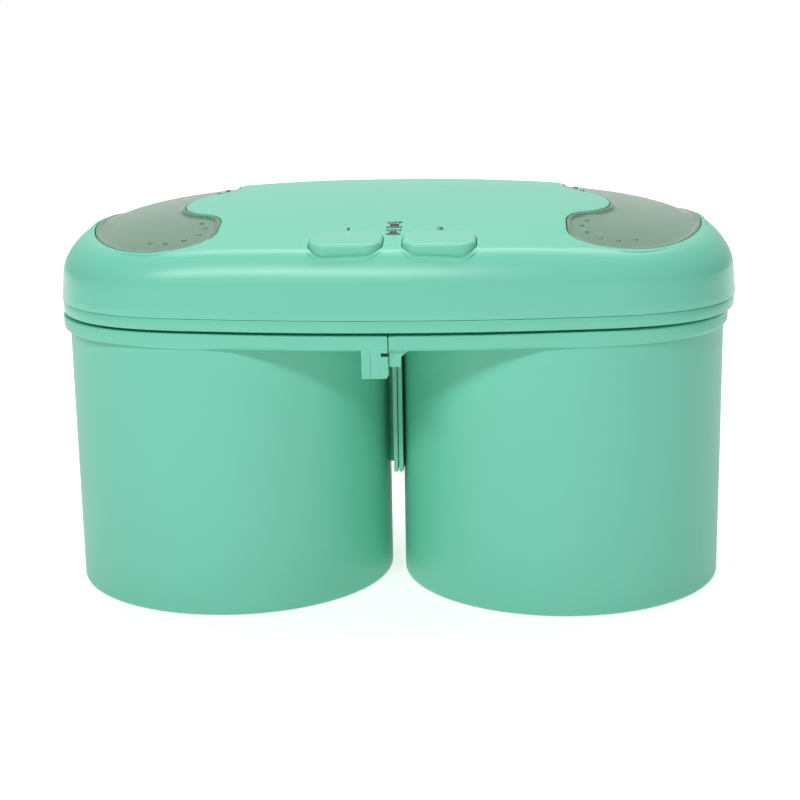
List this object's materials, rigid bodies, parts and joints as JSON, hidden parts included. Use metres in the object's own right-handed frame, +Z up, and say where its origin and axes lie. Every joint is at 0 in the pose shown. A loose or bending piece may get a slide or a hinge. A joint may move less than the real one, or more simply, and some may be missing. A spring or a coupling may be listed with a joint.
{
  "type": "twin-bowl ice cream maker",
  "caption": "Twin-bowl ice cream maker: round tubs hooked side by side, freezer bowls, paddles, and an oval motor lid with push buttons and clear kidney windows.",
  "frame": {"origin": "on the surface that the object stands on, under the middle of the lid", "axes": "+Z up, -Y towards the front with the buttons and the hook, +X to the right seen from the front"},
  "size_m": [0.327, 0.1756, 0.1916],
  "materials": {
    "mint_tub": "satin mint green moulded plastic",
    "mint_lid": "satin mint green moulded plastic",
    "mint_button": "satin mint green moulded plastic",
    "clear_window": "clear moulded plastic with small grip dots",
    "bowl_metal": "spun aluminium",
    "jacket_plastic": "white moulded plastic",
    "coolant": "sealed cooling gel",
    "seal_rubber": "grey rubber",
    "foot_rubber": "dark rubber",
    "grommet_rubber": "black rubber",
    "paddle_plastic": "white moulded plastic",
    "coupler_plastic": "white moulded plastic",
    "shaft_steel": "turned steel",
    "motor_steel": "zinc plated steel",
    "screw_steel": "zinc plated steel",
    "spring_steel": "drawn spring wire",
    "bracket_steel": "zinc plated sheet",
    "switch_plastic": "black moulded plastic",
    "terminal_plastic": "ivory moulded plastic"
  },
  "bodies": {
    "base": {"tub_right": "mint_tub", "feet_right": "foot_rubber"},
    "left_tub": {"tub_left": "mint_tub", "feet_left": "foot_rubber"},
    "left_bowl": {"bowl_jacket_left": "jacket_plastic", "coolant_left": "coolant", "bowl_liner_left": "bowl_metal", "bowl_seal_left": "seal_rubber"},
    "right_bowl": {"bowl_jacket_right": "jacket_plastic", "coolant_right": "coolant", "bowl_liner_right": "bowl_metal", "bowl_seal_right": "seal_rubber"},
    "left_paddle": {"paddle_left": "paddle_plastic"},
    "right_paddle": {"paddle_right": "paddle_plastic"},
    "lid": {"lid_base": "mint_lid", "lid_top_cover": "mint_lid", "lid_screws": "screw_steel", "motor_left": "motor_steel", "motor_right": "motor_steel", "motor_screws": "screw_steel", "switch_left": "switch_plastic", "switch_right": "switch_plastic", "switch_bracket": "bracket_steel", "terminal_block": "terminal_plastic", "cord_grommet": "grommet_rubber", "button_spring_left": "spring_steel", "button_spring_right": "spring_steel"},
    "left_drive": {"drive_shaft_left": "shaft_steel", "drive_coupler_left": "coupler_plastic"},
    "right_drive": {"drive_shaft_right": "shaft_steel", "drive_coupler_right": "coupler_plastic"},
    "left_window": {"window_cover_left": "clear_window"},
    "right_window": {"window_cover_right": "clear_window"},
    "left_button": {"button_left": "mint_button"},
    "right_button": {"button_right": "mint_button"}
  },
  "joints": [
    {"name": "lid_lift", "type": "slide", "parent": "base", "child": "lid", "axis": [0, 0, 1], "range_m": [0, 0.3]},
    {"name": "tub_left_unhook", "type": "slide", "parent": "base", "child": "left_tub", "axis": [0, 0, 1], "range_m": [0, 0.031]},
    {"name": "bowl_left_lift", "type": "slide", "parent": "left_tub", "child": "left_bowl", "axis": [0, 0, 1], "range_m": [0, 0.151]},
    {"name": "bowl_right_lift", "type": "slide", "parent": "base", "child": "right_bowl", "axis": [0, 0, 1], "range_m": [0, 0.151]},
    {"name": "paddle_left_spin", "type": "hinge", "parent": "left_bowl", "child": "left_paddle", "pos_m": [-0.082, 0, 0.03], "axis": [0, 0, 1], "continuous": true},
    {"name": "paddle_right_spin", "type": "hinge", "parent": "right_bowl", "child": "right_paddle", "pos_m": [0.082, 0, 0.03], "axis": [0, 0, 1], "continuous": true},
    {"name": "drive_left_spin", "type": "hinge", "parent": "lid", "child": "left_drive", "pos_m": [-0.082, 0, 0.14], "axis": [0, 0, 1], "continuous": true},
    {"name": "drive_right_spin", "type": "hinge", "parent": "lid", "child": "right_drive", "pos_m": [0.082, 0, 0.14], "axis": [0, 0, 1], "continuous": true},
    {"name": "window_left_lift", "type": "slide", "parent": "lid", "child": "left_window", "axis": [0, 0, 1], "range_m": [0, 0.06]},
    {"name": "window_right_lift", "type": "slide", "parent": "lid", "child": "right_window", "axis": [0, 0, 1], "range_m": [0, 0.06]},
    {"name": "button_left_press", "type": "slide", "parent": "lid", "child": "left_button", "axis": [0, 0, -1], "range_m": [0, 0.003], "stiffness_N_per_m": 500, "springref_m": -0.002, "deforming": ["button_spring_left"]},
    {"name": "button_right_press", "type": "slide", "parent": "lid", "child": "right_button", "axis": [0, 0, -1], "range_m": [0, 0.003], "stiffness_N_per_m": 500, "springref_m": -0.002, "deforming": ["button_spring_right"]}
  ],
  "couplings": [
    {"joint": "bowl_left_lift", "follows": "lid_lift", "ratio": 0.5},
    {"joint": "bowl_right_lift", "follows": "lid_lift", "ratio": 0.5},
    {"joint": "tub_left_unhook", "follows": "lid_lift", "ratio": 0.1},
    {"joint": "drive_left_spin", "follows": "paddle_left_spin", "ratio": 1},
    {"joint": "drive_right_spin", "follows": "paddle_right_spin", "ratio": 1}
  ]
}
